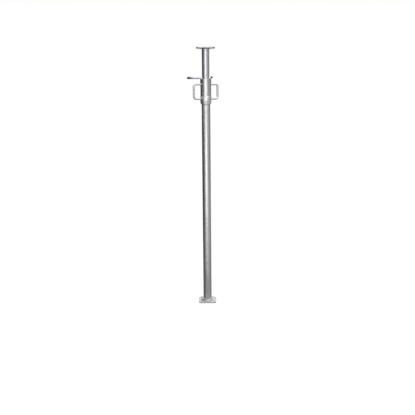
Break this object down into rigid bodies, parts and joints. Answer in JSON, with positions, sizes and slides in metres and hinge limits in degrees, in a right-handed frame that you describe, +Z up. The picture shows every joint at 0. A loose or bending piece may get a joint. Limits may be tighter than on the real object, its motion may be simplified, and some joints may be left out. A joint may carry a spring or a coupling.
{
  "type": "adjustable steel prop",
  "caption": "Telescopic steel shoring prop: drilled inner tube on a hairpin pin, lifted by a covered-thread sleeve with loop handles, between square end plates.",
  "frame": {"origin": "middle of the base plate's underside, on the axis of the tubes, at floor level", "axes": "+Z up along the tubes to the head plate; the locking pin is pulled out towards -X and its free leg lies on the +Y side; the plates' sides lie along X and Y"},
  "size_m": [0.207, 0.12, 1.72],
  "materials": {
    "outer_zinc": "galvanised, satin with faint spangle",
    "inner_zinc": "bright zinc, satin",
    "sleeve_zinc": "bright zinc, satin",
    "zinc_plate": "galvanised, matt",
    "weld_metal": "weld bead under zinc, rippled",
    "rod_zinc": "galvanised round bar, matt",
    "pin_steel": "zinc plated round bar, semi-bright",
    "inner_fittings": "plain steel, oiled"
  },
  "bodies": {
    "outer_post": {"base_plate": "zinc_plate", "base_weld": "weld_metal", "outer_tube": "outer_zinc", "mouth_bush": "inner_fittings"},
    "thrust_ring": {"bearing_ring": "sleeve_zinc"},
    "sleeve": {"sleeve_tube": "sleeve_zinc", "threaded_nut": "sleeve_zinc", "nut_weld": "weld_metal", "handle_left": "rod_zinc", "handle_left_upper_weld": "weld_metal", "handle_left_lower_weld": "weld_metal", "handle_right": "rod_zinc", "handle_right_upper_weld": "weld_metal", "handle_right_lower_weld": "weld_metal"},
    "foot_guide": {"guide_ring": "inner_fittings"},
    "inner_post": {"inner_tube": "inner_zinc", "head_plate": "zinc_plate", "head_weld": "weld_metal", "stop_collar": "inner_fittings"},
    "pin": {"locking_pin": "pin_steel"}
  },
  "joints": [
    {"name": "screw_lift", "type": "slide", "parent": "outer_post", "child": "thrust_ring", "axis": [0, 0, 1], "range_m": [0, 0.11]},
    {"name": "sleeve_turn", "type": "hinge", "parent": "thrust_ring", "child": "sleeve", "pos_m": [0, 0, 1.41], "axis": [0, 0, 1], "range_deg": [0, 4950]},
    {"name": "tube_slide", "type": "slide", "parent": "thrust_ring", "child": "foot_guide", "axis": [0, 0, 1], "range_m": [0, 1.1]},
    {"name": "tube_turn", "type": "hinge", "parent": "foot_guide", "child": "inner_post", "pos_m": [0, 0, 0.1], "axis": [0, 0, 1], "continuous": true},
    {"name": "pin_pull", "type": "slide", "parent": "inner_post", "child": "pin", "axis": [-1, 0, 0], "range_m": [0, 0.12]}
  ],
  "couplings": [
    {"joint": "screw_lift", "follows": "sleeve_turn", "m_per_rad": 0.0012732}
  ]
}
